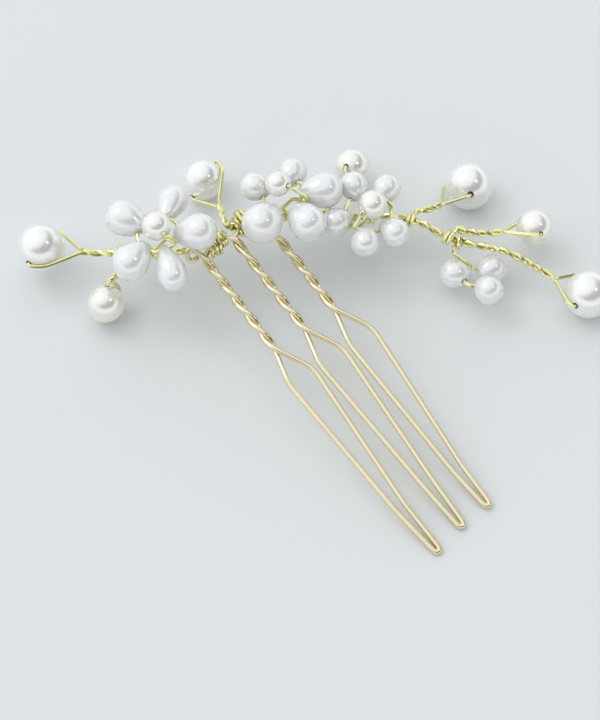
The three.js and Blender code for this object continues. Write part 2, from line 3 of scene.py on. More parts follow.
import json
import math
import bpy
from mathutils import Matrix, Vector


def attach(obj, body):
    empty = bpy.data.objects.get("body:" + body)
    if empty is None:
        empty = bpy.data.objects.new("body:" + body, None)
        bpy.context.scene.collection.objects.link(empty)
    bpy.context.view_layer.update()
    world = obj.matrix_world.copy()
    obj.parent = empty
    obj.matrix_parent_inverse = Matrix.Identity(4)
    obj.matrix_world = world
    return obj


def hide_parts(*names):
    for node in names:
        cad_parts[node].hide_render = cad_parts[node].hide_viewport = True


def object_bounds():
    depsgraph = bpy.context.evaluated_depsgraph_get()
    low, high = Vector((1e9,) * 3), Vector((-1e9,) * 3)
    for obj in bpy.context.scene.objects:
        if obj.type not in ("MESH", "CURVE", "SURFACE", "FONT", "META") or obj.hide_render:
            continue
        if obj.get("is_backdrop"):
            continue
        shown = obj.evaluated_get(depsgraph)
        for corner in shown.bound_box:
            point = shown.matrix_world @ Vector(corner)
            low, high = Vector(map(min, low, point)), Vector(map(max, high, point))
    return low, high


bl_info = {
    "name": "Decorative hair pin",
    "version": (1, 0, 0),
    "blender": (4, 5, 0),
    "location": "3D View > Sidebar > Hair pin",
    "description": "Makes the comb, stems, pearls and bead flowers of a hair pin",
    "category": "Add Mesh",
}

import bpy
from bpy.props import FloatProperty, FloatVectorProperty, PointerProperty
from mathutils import Matrix, Vector

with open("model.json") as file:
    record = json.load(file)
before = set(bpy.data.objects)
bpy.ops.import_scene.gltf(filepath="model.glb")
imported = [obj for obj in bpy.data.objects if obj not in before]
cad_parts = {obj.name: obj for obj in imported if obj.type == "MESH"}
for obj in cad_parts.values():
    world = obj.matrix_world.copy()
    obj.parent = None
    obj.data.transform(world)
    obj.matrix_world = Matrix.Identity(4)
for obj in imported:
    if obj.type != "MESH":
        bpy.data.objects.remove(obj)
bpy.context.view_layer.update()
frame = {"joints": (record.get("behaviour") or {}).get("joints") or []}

MM = 0.001
ROOT = "pin"
JOINTS = {joint["child"]: joint for joint in frame["joints"]}
Z = Vector((0, 0, 1))


# ------------------------------------------------------------ placement

# The layout below is in millimetres from the point where the pin was laid
# out. The frame's own origin is the middle of the footprint, so everything
# moves by the same step, found from one pearl.

def vec(*values):
    return Vector(values)


def unit(*values):
    return Vector(values).normalized()


FORK_LEFT = vec(-36, 16.5, 7)
LEFT_PEARL_OUT = unit(-0.98, 0.16, -0.07) * (4.0 + 2.8)
LAYOUT_STEP = Vector(JOINTS["pearl_left"]["pos_m"]) / MM - (FORK_LEFT + LEFT_PEARL_OUT)


def bead_place(node):
    """Centre of a bead's hole in layout millimetres, and the hole's direction."""
    joint = JOINTS[node]
    return Vector(joint["pos_m"]) / MM - LAYOUT_STEP, Vector(joint["axis"]).normalized()


# Comb, along its own plane: u on the spine, v down the prongs, n off its face
PRONG_PITCH = 6.1
SHANK_LENGTH = 19.5
SHANK_TWIST = 7.8
SHOULDER_RUN = 6.0
LOOP_WIDTH = 4.9
LOOP_SHIFT = 0.7
LEG_LENGTH = 27.0
NECK_WIDTH = 1.8
TIP_LENGTH = 7.8
TIP_WIDTH = 1.0
NECK_DRIFT = (0.3, 0.3, -0.4)
TIP_DRIFT = (0.8, 0.4, -0.2)
TIP_REACH = (1.4, 0.3, 0)
SPINE_RISE = 0.9
SPINE_CORNER = 0.9
EYE_RISE = 1.75
EYE_TURN = math.radians(315)
EYE_CROSSING = 1.05
EYE_RADIUS = 0.85
SPINE_HEIGHT = 9.0
COMB_YAW = math.radians(37)
COMB_START = vec(-10.69, 17.55, SPINE_HEIGHT)
COMB_LENGTH = SHANK_LENGTH + SHOULDER_RUN + LEG_LENGTH + TIP_LENGTH
COMB_SLOPE = math.asin((SPINE_HEIGHT - 0.4) / (COMB_LENGTH + max(TIP_REACH)))
COMB_U = vec(math.cos(COMB_YAW), math.sin(COMB_YAW), 0)
COMB_V = vec(COMB_U.y, -COMB_U.x, 0) * math.cos(COMB_SLOPE) - Z * math.sin(COMB_SLOPE)
COMB_N = COMB_V.cross(COMB_U).normalized()

BINDING_TURNS = 4
BINDING_PITCH = 0.72
OUTER_TURNS = 2.5
OUTER_PITCH = 0.8
LEFT_LEAN = 0.7
BINDING_SWELL = 1.15
COMB_RADIUS = 0.4
BINDING_START = 0.95
STEM_TWIST = 4.0
STRAND_GAP = 0.02
WRAP_TURNS = 1.6


def on_comb(u, v, n):
    return COMB_START + COMB_U * u + COMB_V * v + COMB_N * n


# ------------------------------------------------------------- settings

class HairPinSizes(bpy.types.PropertyGroup):
    comb_wire: FloatProperty(
        name="Comb wire", description="Diameter of the comb's wire",
        default=0.9 * MM, min=0.5 * MM, max=2 * MM, unit="LENGTH")
    craft_wire: FloatProperty(
        name="Craft wire", description="Diameter of the wire of stems and flowers",
        default=0.65 * MM, min=0.3 * MM, max=1 * MM, unit="LENGTH")
    pearl_hole: FloatProperty(
        name="Pearl hole", description="Diameter of the hole through a pearl",
        default=0.67 * MM, min=0.66 * MM, max=1.4 * MM, unit="LENGTH")
    leg_standoff: FloatProperty(
        name="Leg stand-off", description="Gap between a wire leg and the pearl it rounds",
        default=0.14 * MM, min=0.02 * MM, max=0.25 * MM, unit="LENGTH")


class HairPinColours(bpy.types.PropertyGroup):
    comb_gold: FloatVectorProperty(
        name="Comb gold", description="Champagne plating of the comb",
        subtype="COLOR", default=(0.84, 0.765, 0.55), min=0, max=1)
    craft_gold: FloatVectorProperty(
        name="Craft gold", description="Greener gold of the craft wire",
        subtype="COLOR", default=(0.84, 0.80, 0.44), min=0, max=1)
    white_pearl: FloatVectorProperty(
        name="White pearl", description="Coating of the white pearls",
        subtype="COLOR", default=(0.90, 0.91, 0.89), min=0, max=1)
    cream_pearl: FloatVectorProperty(
        name="Cream pearl", description="Coating of the cream pearls",
        subtype="COLOR", default=(0.90, 0.885, 0.835), min=0, max=1)
    drop_glass: FloatVectorProperty(
        name="Drop glass", description="Milky glass of the drop beads",
        subtype="COLOR", default=(0.92, 0.94, 0.95), min=0, max=1)


class HairPinStage(bpy.types.PropertyGroup):
    floor_colour: FloatVectorProperty(
        name="Table colour", description="Pale cool grey of the table",
        subtype="COLOR", default=(0.79, 0.815, 0.825), min=0, max=1)
    key_power: FloatProperty(
        name="Key light", description="Power of the large light from the left",
        default=1.1, min=0, max=50, unit="POWER")
    fill_power: FloatProperty(
        name="Fill light", description="Power of the smaller light from the right",
        default=0.25, min=0, max=50, unit="POWER")
    sky: FloatProperty(
        name="Room light", description="Brightness of the room all round",
        default=1.0, min=0, max=3)


# --------------------------------------------------------- mesh helpers

def activate(obj):
    """Makes one object the only selected and active one."""
    bpy.ops.object.select_all(action="DESELECT")
    obj.select_set(True)
    bpy.context.view_layer.objects.active = obj


def apply_place(obj):
    """Puts an object's place into its mesh."""
    activate(obj)
    bpy.ops.object.transform_apply(location=True, rotation=True, scale=True)


def finish_piece(obj, name, material, slot, body, *nodes):
    """Names a finished piece and ties it to the frame."""
    obj.name = name
    obj.data.name = name
    obj.data.materials.clear()
    obj.data.materials.append(material)
    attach(obj, body)
    if nodes:
        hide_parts(*nodes)
    return obj


def wire_object(name, points, diameter, sides=12):
    """A round wire along layout points, as a mesh with closed ends."""
    curve = bpy.data.curves.new(name, "CURVE")
    curve.dimensions = "3D"
    curve.bevel_depth = diameter / 2
    curve.bevel_resolution = sides // 4 - 1
    curve.use_fill_caps = True
    spline = curve.splines.new("POLY")
    spline.points.add(len(points) - 1)
    for spot, point in zip(spline.points, points):
        spot.co = (*((point + LAYOUT_STEP) * MM), 1)
    obj = bpy.data.objects.new(name, curve)
    bpy.context.collection.objects.link(obj)
    activate(obj)
    bpy.ops.object.convert(target="MESH")
    bpy.ops.object.shade_smooth_by_angle(angle=math.radians(40))
    return bpy.context.object


# ---------------------------------------------------------- wire routes

def bent(points, radius, steps=8):
    """A line of points with every corner bent round."""
    result = [points[0]]
    for before, corner, after in zip(points, points[1:], points[2:]):
        back, ahead = before - corner, after - corner
        if back.length < 1e-6 or ahead.length < 1e-6:
            continue
        reach = min(radius, back.length * 0.49, ahead.length * 0.49)
        start = corner + back.normalized() * reach
        end = corner + ahead.normalized() * reach
        for i in range(steps + 1):
            t = i / steps
            result.append(start * (1 - t) ** 2 + corner * 2 * t * (1 - t) + end * t ** 2)
    result.append(points[-1])
    return result


def resampled(points, step):
    """The same line with points at even steps, so that bends stay round."""
    lengths = [0.0]
    for a, b in zip(points, points[1:]):
        lengths.append(lengths[-1] + (b - a).length)
    count = max(2, round(lengths[-1] / step))
    result, k = [], 0
    for i in range(count + 1):
        place = lengths[-1] * i / count
        while k < len(lengths) - 2 and lengths[k + 1] < place:
            k += 1
        span = max(lengths[k + 1] - lengths[k], 1e-9)
        result.append(points[k].lerp(points[k + 1], min(1, (place - lengths[k]) / span)))
    return result


def relaxed(points, rounds=2):
    """Softens a line of points, keeping its ends."""
    for _ in range(rounds):
        inner = [(a + b * 2 + c) / 4 for a, b, c in zip(points, points[1:], points[2:])]
        points = [points[0], *inner, points[-1]]
    return points


class Route:
    """A smooth stem centre line through its layout points."""

    def __init__(self, knots, per_span=60):
        first = knots[0] * 2 - knots[1]
        last = knots[-1] * 2 - knots[-2]
        padded = [first, *knots, last]
        self.points = [knots[0]]
        for p0, p1, p2, p3 in zip(padded, padded[1:], padded[2:], padded[3:]):
            d0, d1, d2 = ((b - a).length ** 0.5 for a, b in ((p0, p1), (p1, p2), (p2, p3)))
            m1 = ((p1 - p0) / d0 - (p2 - p0) / (d0 + d1) + (p2 - p1) / d1) * d1
            m2 = ((p2 - p1) / d1 - (p3 - p1) / (d1 + d2) + (p3 - p2) / d2) * d1
            for i in range(1, per_span + 1):
                t = i / per_span
                a, b = 2 * t ** 3 - 3 * t ** 2, t ** 3 - 2 * t ** 2 + t
                self.points.append(p1 * (a + 1) + m1 * b - p2 * a + m2 * (t ** 3 - t ** 2))
        self.lengths = [0.0]
        for a, b in zip(self.points, self.points[1:]):
            self.lengths.append(self.lengths[-1] + (b - a).length)
        self.length = self.lengths[-1]

    def at(self, share):
        place = self.length * share
        k = 0
        while k < len(self.lengths) - 2 and self.lengths[k + 1] < place:
            k += 1
        span = self.lengths[k + 1] - self.lengths[k]
        a, b = self.points[k], self.points[k + 1]
        return a.lerp(b, (place - self.lengths[k]) / span), (b - a).normalized()


def carried_normals(points, first):
    """Normals carried along a line without twisting."""
    normals = []
    normal = first
    for i in range(len(points)):
        tangent = (points[min(i + 1, len(points) - 1)] - points[max(i - 1, 0)]).normalized()
        normal = (normal - tangent * normal.dot(tangent)).normalized()
        normals.append((normal, tangent.cross(normal)))
    return normals


def twisted_pair(route, side, wire, wobble):
    """Both strands of a stem from its fork back to its root."""
    steps = max(12, round(route.length / 0.22))
    centres = [route.at(1 - i / steps)[0] for i in range(steps + 1)]
    frames = carried_normals(centres, side)
    offset = wire / 2 + STRAND_GAP / 2
    strands = []
    for sign in (1, -1):
        strand = []
        for i, (centre, (normal, across)) in enumerate(zip(centres, frames)):
            s = route.length * i / steps
            # a hand-twisted stem is tighter in some places than in others
            angle = 2 * math.pi * s / STEM_TWIST + 0.45 * math.sin(s * 0.9 + wobble)
            angle -= 0.45 * math.sin(wobble)
            turn = normal * math.cos(angle) + across * math.sin(angle)
            strand.append(centre + turn * sign * offset)
        strands.append(strand)
    return strands


def turned(start, end, share):
    """A direction turned from one towards another by a share of their angle."""
    axis = start.cross(end).normalized()
    return Matrix.Rotation(start.angle(end) * share, 3, axis) @ start


def leg_route(start, centre, ring, mouth, passes=None):
    """Points round a pearl from a wire's start to just outside its hole."""
    reach = start - centre
    free = math.acos(min(1, ring / reach.length))
    direction = reach.normalized()
    points = []
    for i, target in enumerate([passes, mouth] if passes else [mouth]):
        angle = direction.angle(target)
        skipped = min(free, angle) if i == 0 else 0
        steps = max(1, math.ceil((angle - skipped) / math.radians(10)))
        for k in range(0 if i == 0 and skipped < angle else 1, steps + 1):
            share = (skipped + (angle - skipped) * k / steps) / angle
            points.append(centre + turned(direction, target, share) * ring)
        direction = target
    return points


def wrap_frame(route, place, side):
    centre, tangent = route.at(place)
    out = (side - tangent * side.dot(tangent)).normalized()
    return centre, tangent, out, tangent.cross(out)


def wrap_points(route, place, side, heading, wire, turns=WRAP_TURNS):
    """A wrap round a stem, from the side given and along it."""
    centre, tangent, out, over = wrap_frame(route, place, side)
    radius = wire * 1.5 + STRAND_GAP
    points = []
    count = round(turns * 24)
    for i in range(count + 1):
        angle = 2 * math.pi * i / 24
        here = centre + tangent * heading * BINDING_PITCH * i / 24
        spread = radius * (1 + 0.04 * math.sin(angle * 2.3))
        points.append(here + (out * math.cos(angle) + over * math.sin(angle)) * spread)
    return points


def branch_start(route, place, side, wire):
    centre, _, out, _ = wrap_frame(route, place, side)
    return centre + out * (wire * 3 + 3 * STRAND_GAP)


# ----------------------------------------------------------------- comb

def shank_strand(u, side, wire):
    offset = wire / 2 + STRAND_GAP / 2
    count = round(SHANK_LENGTH / 0.3)
    points = []
    for i in range(count + 1):
        v = SHANK_LENGTH * i / count
        angle = 2 * math.pi * (v - SHANK_LENGTH) / SHANK_TWIST
        points.append(on_comb(u + side * offset * math.sin(angle), v, side * offset * math.cos(angle)))
    return points


def prong_route(prong, wire):
    """One prong from its left strand's top, round the tip, to the right one's."""
    u = (prong - 1) * PRONG_PITCH
    shoulder = SHANK_LENGTH + SHOULDER_RUN
    neck = shoulder + LEG_LENGTH
    middle = u + LOOP_SHIFT
    tip = u + TIP_DRIFT[prong]
    neck_middle = u + NECK_DRIFT[prong]
    end = COMB_LENGTH + TIP_REACH[prong] - TIP_WIDTH / 2

    def leg(side):
        return [
            on_comb(middle + side * LOOP_WIDTH / 2, shoulder, 0),
            on_comb(neck_middle + side * NECK_WIDTH / 2, neck, 0),
            on_comb(tip + side * TIP_WIDTH / 2, end, 0),
        ]

    bend = []
    for i in range(1, 12):
        a = math.pi * (i / 12 - 0.5)
        half = TIP_WIDTH / 2
        bend.append(on_comb(tip + half * math.sin(a), end + half * math.cos(a), 0))
    left, right = shank_strand(u, -1, wire), shank_strand(u, 1, wire)
    loop = bent([left[-1], *leg(-1), *bend, *reversed(leg(1)), right[-1]], 1.4, 10)
    return [*left[:-1], *loop, *reversed(right[:-1])]


def eye_route(u, side, wire):
    """The curl that ends the wire beside an outer prong, from its free end."""
    offset = wire / 2 + STRAND_GAP / 2
    points = []
    for i in range(29):
        share = i / 28
        angle = EYE_TURN * (1 - share)
        across = u + side * (offset + EYE_RADIUS - EYE_RADIUS * math.cos(angle))
        lift = side * ((1 - share) * EYE_CROSSING - offset)
        points.append(on_comb(across, -EYE_RISE - EYE_RADIUS * math.sin(angle), lift))
    return points


def comb_route(wire):
    offset = (wire / 2 + STRAND_GAP / 2) / 2
    points = eye_route(-PRONG_PITCH, -1, wire)
    for prong in range(3):
        strand = prong_route(prong, wire)
        if prong:
            left, right = (prong - 2) * PRONG_PITCH, (prong - 1) * PRONG_PITCH
            bar = [
                on_comb(left + SPINE_CORNER, -SPINE_RISE, -offset),
                on_comb(right - SPINE_CORNER, -SPINE_RISE, offset),
            ]
            points = points[:-1] + bent([points[-1], *bar, strand[0]], 1.0) + strand[1:]
        else:
            points += strand
    points += reversed(eye_route(PRONG_PITCH, 1, wire))
    return relaxed(resampled(points, 0.3), 3)


# ---------------------------------------------------------------- stems

STEM_RADIUS = 0.66
SPINE_TO_STEM = 1.25
BINDING_END = BINDING_START + BINDING_TURNS * BINDING_PITCH + 0.65


def in_binding(u):
    return on_comb(u, -SPINE_RISE - SPINE_TO_STEM, 0)


MAIN_STEMS = {
    "left": {
        "path": [
            in_binding(-0.6), in_binding(-BINDING_END), vec(-19.3, 16.1, 7.9), vec(-24, 15.9, 7.6),
            vec(-29.5, 15.7, 8), vec(-33, 15.9, 7.5), FORK_LEFT,
        ],
        "radius": 4.0, "slot": "white_pearl",
    },
    "right": {
        "path": [
            in_binding(0.6), in_binding(BINDING_END), vec(-6.9, 23.4, 7.2), vec(-2, 23.6, 7.1),
            vec(4, 23, 7.6), vec(9, 22.5, 7.8), vec(14.7, 22.6, 8), vec(20, 21.5, 7.7),
            vec(23, 19.9, 7.2), vec(25.6, 18.6, 7), vec(30, 17.6, 6.8), vec(33.7, 17, 6.2),
            vec(38.9, 14.8, 5), vec(42.2, 12.6, 4.5),
        ],
        "radius": 4.0, "slot": "white_pearl",
    },
}

BRANCHES = {
    "lower_left": {
        "from": "left", "place": 0.695, "side": unit(-0.3, -0.9, -0.3), "heading": 1,
        "path": [vec(-30.8, 10.85, 7.2)], "passes": unit(0.6, 0.75, -0.28),
        "radius": 3.15, "slot": "cream_pearl",
    },
    "upper_left": {
        "path": [on_comb(0, -1.8, 1.75), vec(-12.6, 21.2, 10.2), vec(-12.9, 24, 8), vec(-13.7, 25.8, 6.5)],
        "radius": 3.5, "slot": "white_pearl",
    },
    "upper_middle": {
        "from": "right", "place": 0.32, "side": unit(0.2, 0.95, 0.2), "heading": -1,
        "path": [vec(6.5, 26.5, 8.3), vec(8.2, 28.5, 8)], "passes": unit(0.1, -0.35, -0.93),
        "radius": 3.15, "slot": "cream_pearl",
    },
    "upper_right": {
        "from": "right", "place": 0.56, "side": unit(0.5, 0.8, -0.1), "heading": -1,
        "path": [vec(22.3, 24.8, 7.2), vec(23.7, 26, 6.5)],
        "radius": 4.0, "slot": "white_pearl",
    },
    "middle_right": {
        "from": "right", "place": 0.68, "side": unit(0.7, 0.7, 0.1), "heading": -1,
        "path": [vec(30, 19.8, 7.3), vec(33.7, 20.4, 7)],
        "radius": 3.15, "slot": "cream_pearl",
    },
}

ROUTES = {name: Route(stem["path"]) for name, stem in MAIN_STEMS.items()}


def stem_route(name, stem, wire, standoff):
    """The one wire of a stem: up a strand, through its pearl and back down."""
    wrap = []
    if name in ROUTES:
        route = ROUTES[name]
    elif "from" in stem:
        base = ROUTES[stem["from"]]
        start = branch_start(base, stem["place"], stem["side"], wire)
        wrap = wrap_points(base, stem["place"], stem["side"], stem["heading"], wire)
        route = Route([start, *stem["path"]])
    else:
        route = Route(stem["path"])
    centre, bore = bead_place(f"pearl_{name}")
    ring = stem["radius"] + standoff + wire / 2
    near, far = twisted_pair(route, bore, wire, len(name) * 1.7)
    legs = [
        far[0], *leg_route(far[0], centre, ring, -bore, stem.get("passes")),
        *reversed(leg_route(near[0], centre, ring, bore)), near[0],
    ]
    points = [*reversed(far[1:]), *relaxed(resampled(bent(legs, 0.62), 0.2), 3), *near[1:], *wrap]
    return relaxed(resampled(points, 0.2), 2)


COIL_POINTS = 32  # for each turn of a binding
COIL_GAP = 0.06  # between a coil and what it holds
HAND_SWELL = 0.03  # share by which the turns of a hand-wound coil differ
HAND_SWAY = 0.1  # how far a turn leans along the spine


def binding_route(side, wire):
    """A hand-wound coil that holds a stem behind the spine bar, in two rows."""
    half = (COMB_RADIUS + SPINE_TO_STEM + STEM_RADIUS) / 2
    middle = COMB_RADIUS - SPINE_RISE - half
    start = BINDING_START + wire / 2
    length = BINDING_TURNS * BINDING_PITCH
    rows = (
        (0, BINDING_TURNS, BINDING_PITCH, start, 0.0),
        (1, OUTER_TURNS, -OUTER_PITCH, start + length, LEFT_LEAN if side < 0 else 0.0),
    )
    points = []
    for layer, turns, pitch, begin, lean in rows:
        grown = wire / 2 + layer * wire + COIL_GAP
        for i in range(4 * layer, round(turns * COIL_POINTS) + 1):
            turn = i / COIL_POINTS
            angle = 2 * math.pi * turn
            swell = 1 + HAND_SWELL * math.sin(turn * 3.7 + 1.3 * side)
            sway = HAND_SWAY * math.sin(turn * 2.1 + side) * math.sin(angle)
            u = side * (begin + pitch * turn + lean * math.sin(angle)) + sway
            v = middle + (half + grown) * swell * math.sin(angle)
            height = (STEM_RADIUS * BINDING_SWELL + grown) * swell * math.cos(angle)
            points.append(on_comb(u, v, height))
    return relaxed(resampled(points, 0.2), 2)


# -------------------------------------------------------------- flowers

FLOWERS = {
    "flower_left": {
        "centre": vec(-22.95, 16.05, 13.4), "facing": vec(-0.08, 0, 1),
        "drops": ("large", "slim", "large", "large", "slim"), "lifts": (8, -18, -2, -6, -14),
        "from": "left", "place": 0.475, "foot": Z, "radius": 2.4, "tuck": 112,
    },
    "flower_middle": {
        "centre": vec(-2.6, 23.6, 13.0), "facing": vec(0, 0, 1),
        "drops": ("large", "small", "small", "broad", "large"), "lifts": (-4, -18, -4, 8, 8),
        "from": "right", "place": 0.19, "foot": Z, "radius": 2.1, "tuck": 118,
    },
    "flower_right": {
        "centre": vec(11.3, 21.8, 10.6), "facing": vec(0, 0, 1),
        "drops": ("small",) * 5, "lifts": (-4, -4, -4, 6, -4),
        "from": "right", "place": 0.427, "foot": Z, "radius": 2.4, "tuck": 9,
    },
    "bud": {
        "centre": vec(29, 13, 4.4), "facing": vec(0, 0.35, 0.94),
        "drops": ("small",) * 3, "lifts": (-1, 0, 0),
        "from": "right", "place": 0.694, "foot": vec(0.2, -0.9, -0.4), "radius": None, "tuck": None,
    },
}

DROPS = {
    "broad": {"width": 6.7, "length": 7.6, "taper": 0.2},
    "large": {"width": 6.0, "length": 7.4, "taper": 0.25},
    "slim": {"width": 4.9, "length": 8.0, "taper": 0.4},
    "small": {"width": 4.7, "length": 5.2, "taper": 0.15},
}
DROP_HOLE = 0.81
DROP_HOLE_INSET = 0.8  # from the narrow end to the cross hole
THREAD_END = 0.22  # straight wire beyond each mouth of a petal's hole

# The thread's way from the last petal over to the centre pearl, and its end
LEAVE_SHARE = 0.55  # of the gap between the last petal and the first
LEAVE_OUT = 1.3  # of the ring's radius
LEAVE_RISE = 1.3
TUCK_OUT = 1.1  # of the ring's radius
TUCK_RISE = 0.66


def drop_radius(drop, share):
    """Radius of a drop bead at a share of its length from the narrow end."""
    angle = math.acos(1 - 2 * share)
    taper = drop["taper"]
    widest = math.acos((1 - math.sqrt(1 + 8 * taper ** 2)) / (4 * taper))

    def outline(a):
        return math.sin(a) * (1 - taper * math.cos(a))

    return drop["width"] / 2 * outline(angle) / outline(widest)


def flower_axes(flower):
    up = flower["facing"].normalized()
    right = (vec(1, 0, 0) - up * up.x).normalized()
    return right, up.cross(right), up


def petal_place(name, flower, i):
    """Matrix that puts a drop bead in its place on the flower's ring."""
    centre, bore = bead_place(f"{name}_petal_{i + 1}")
    _, _, up = flower_axes(flower)
    outward = (centre - flower["centre"]).normalized()
    lift = math.radians(flower["lifts"][i])
    outward = outward * math.cos(lift) + up * math.sin(lift)
    turn = Matrix((outward, bore, outward.cross(bore))).transposed().to_4x4()
    return Matrix.Translation((centre + LAYOUT_STEP) * MM) @ turn


def flower_route(name, flower, wire, standoff):
    """A flower's wire: wrap, rise, petals in turn, and over through the pearl."""
    right, back, up = flower_axes(flower)
    centre = flower["centre"]

    def polar(angle, out, height, sideways=0.0):
        outward = right * math.cos(angle) + back * math.sin(angle)
        return centre + outward * out + up.cross(outward) * sideways + up * height

    petals = []
    for i, kind in enumerate(flower["drops"]):
        hole, _ = bead_place(f"{name}_petal_{i + 1}")
        arm = hole - centre
        petals.append((math.atan2(arm.dot(back), arm.dot(right)), DROPS[kind]))
    reach = (bead_place(f"{name}_petal_1")[0] - centre).length
    first, last = petals[0][0], petals[-1][0]
    gap = (first - last) % (2 * math.pi)
    from_below = flower["radius"] is not None
    share, out, height = (0.27, 0.45, -wire) if from_below else (0.5, 1.9, 0)
    points = [polar(first - gap * share, reach * out, height)]
    for angle, drop in petals:
        half = drop_radius(drop, DROP_HOLE_INSET / drop["length"]) + THREAD_END
        points += [polar(angle, reach, 0, -half), polar(angle, reach, 0, half)]
    if from_below:
        middle, bore = bead_place(f"{name}_pearl")
        ring = flower["radius"] + standoff + wire / 2
        leave = polar(last + gap * LEAVE_SHARE, reach * LEAVE_OUT, LEAVE_RISE)
        tuck = polar(math.radians(flower["tuck"]), reach * TUCK_OUT, TUCK_RISE)
        points += [leave, *leg_route(leave, middle, ring, bore)]
        points += [*reversed(leg_route(tuck, middle, ring, -bore)), tuck]
    route = ROUTES[flower["from"]]
    foot = flower["foot"]
    wrap = list(reversed(wrap_points(route, flower["place"], foot, 1, wire)))
    start = branch_start(route, flower["place"], foot, wire)
    line = bent([wrap[-1], start, *points], 0.5)
    return relaxed(resampled([*wrap, *line[1:]], 0.2), 2)


# ------------------------------------------------------------ materials

def new_tree(name):
    """A material with an empty tree but for its Principled shader."""
    material = bpy.data.materials.new(name)
    material.use_nodes = True
    nodes = material.node_tree.nodes
    return material, nodes, material.node_tree.links, nodes["Principled BSDF"]


def add_group_socket(group, name, direction, kind, default=None):
    socket = group.interface.new_socket(name=name, in_out=direction, socket_type=kind)
    if default is not None:
        socket.default_value = default
    return socket


def surface_variation_group():
    """Soft patches of a second colour, and a fine bump, on Object coordinates."""
    group = bpy.data.node_groups.get("Surface variation")
    if group:
        return group
    group = bpy.data.node_groups.new("Surface variation", "ShaderNodeTree")
    add_group_socket(group, "Colour", "INPUT", "NodeSocketColor", (0.8, 0.8, 0.8, 1))
    add_group_socket(group, "Second colour", "INPUT", "NodeSocketColor", (0.8, 0.8, 0.8, 1))
    add_group_socket(group, "Patch scale", "INPUT", "NodeSocketFloat", 300.0)
    add_group_socket(group, "Patch amount", "INPUT", "NodeSocketFloat", 0.5)
    add_group_socket(group, "Grain scale", "INPUT", "NodeSocketFloat", 3000.0)
    add_group_socket(group, "Grain bump", "INPUT", "NodeSocketFloat", 0.1)
    add_group_socket(group, "Roughness", "INPUT", "NodeSocketFloat", 0.3)
    add_group_socket(group, "Roughness spread", "INPUT", "NodeSocketFloat", 0.1)
    add_group_socket(group, "Colour", "OUTPUT", "NodeSocketColor")
    add_group_socket(group, "Roughness", "OUTPUT", "NodeSocketFloat")
    add_group_socket(group, "Normal", "OUTPUT", "NodeSocketVector")
    nodes, links = group.nodes, group.links
    given = nodes.new("NodeGroupInput")
    result = nodes.new("NodeGroupOutput")
    place = nodes.new("ShaderNodeTexCoord")
    patches = nodes.new("ShaderNodeTexNoise")
    patches.inputs["Detail"].default_value = 3
    grain = nodes.new("ShaderNodeTexNoise")
    grain.inputs["Detail"].default_value = 4
    amount = nodes.new("ShaderNodeMath")
    amount.operation = "MULTIPLY"
    mix = nodes.new("ShaderNodeMix")
    mix.data_type = "RGBA"
    spread = nodes.new("ShaderNodeMath")
    spread.operation = "MULTIPLY_ADD"
    centred = nodes.new("ShaderNodeMath")
    centred.operation = "SUBTRACT"
    centred.inputs[1].default_value = 0.5
    bump = nodes.new("ShaderNodeBump")
    bump.inputs["Distance"].default_value = 0.00002
    for noise, scale in ((patches, "Patch scale"), (grain, "Grain scale")):
        links.new(place.outputs["Object"], noise.inputs["Vector"])
        links.new(given.outputs[scale], noise.inputs["Scale"])
    links.new(patches.outputs["Fac"], amount.inputs[0])
    links.new(given.outputs["Patch amount"], amount.inputs[1])
    links.new(amount.outputs[0], mix.inputs["Factor"])
    links.new(given.outputs["Colour"], mix.inputs["A"])
    links.new(given.outputs["Second colour"], mix.inputs["B"])
    links.new(grain.outputs["Fac"], centred.inputs[0])
    links.new(centred.outputs[0], spread.inputs[0])
    links.new(given.outputs["Roughness spread"], spread.inputs[1])
    links.new(given.outputs["Roughness"], spread.inputs[2])
    links.new(grain.outputs["Fac"], bump.inputs["Height"])
    links.new(given.outputs["Grain bump"], bump.inputs["Strength"])
    links.new(mix.outputs["Result"], result.inputs["Colour"])
    links.new(spread.outputs[0], result.inputs["Roughness"])
    links.new(bump.outputs["Normal"], result.inputs["Normal"])
    return group


def add_variation(nodes, links, shader, values):
    """Places the shared variation group in a material and joins it up."""
    group = nodes.new("ShaderNodeGroup")
    group.node_tree = surface_variation_group()
    for name, value in values.items():
        group.inputs[name].default_value = value
    links.new(group.outputs["Colour"], shader.inputs["Base Color"])
    links.new(group.outputs["Roughness"], shader.inputs["Roughness"])
    links.new(group.outputs["Normal"], shader.inputs["Normal"])
    return group


def tinted(colour, factors):
    return (*(min(1, c * f) for c, f in zip(colour, factors)), 1)


def gold_material(name, colour, darker, patch_scale, grain, roughness):
    found = bpy.data.materials.get(name)
    if found:
        return found
    material, nodes, links, shader = new_tree(name)
    shader.inputs["Metallic"].default_value = 1.0
    add_variation(nodes, links, shader, {
        "Colour": (*colour, 1), "Second colour": tinted(colour, darker),
        "Patch scale": patch_scale, "Patch amount": 0.7,
        "Grain scale": 2600.0, "Grain bump": grain,
        "Roughness": roughness, "Roughness spread": 0.12,
    })
    return material


